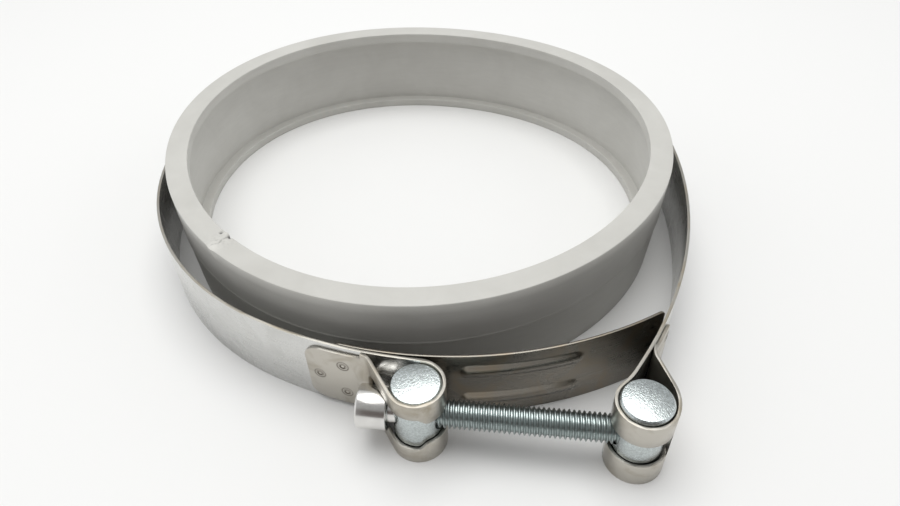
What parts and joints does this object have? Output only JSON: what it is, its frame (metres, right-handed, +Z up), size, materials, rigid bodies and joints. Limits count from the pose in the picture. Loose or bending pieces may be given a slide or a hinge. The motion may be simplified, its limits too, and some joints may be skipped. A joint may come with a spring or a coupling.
{
  "type": "v band clamp",
  "caption": "Trunnion bolt band clamp: folded steel band with spot-welded loops, bridge plate and socket head bolt, round a loose closed rubber channel liner",
  "frame": {"origin": "on the liner's axis in the plane that the clamp lies on, at the bottom lip", "axes": "+Z up along the liner's axis, the bolt and trunnions at -Y, the bolt's head towards -X"},
  "size_m": [0.2236, 0.2563, 0.0421],
  "materials": {
    "liner": "smooth grey rubber, satin",
    "band": "satin stainless strip with spot welds",
    "bridge": "bright rolled stainless sheet",
    "trunnion": "zinc plated, pale blue, fine grain",
    "bolt": "bright zinc plated, polished head"
  },
  "bodies": {
    "clamp": {"liner_ring": "liner", "band": "band", "bridge_plate": "bridge", "trunnion_plain": "trunnion", "trunnion_threaded": "trunnion"},
    "screw": {"bolt": "bolt"}
  },
  "joints": [
    {"name": "bolt_turn", "type": "hinge", "parent": "clamp", "child": "screw", "pos_m": [0.0017, -0.1253, 0.0153], "axis": [0.9903, -0.1392, 0], "continuous": true}
  ]
}
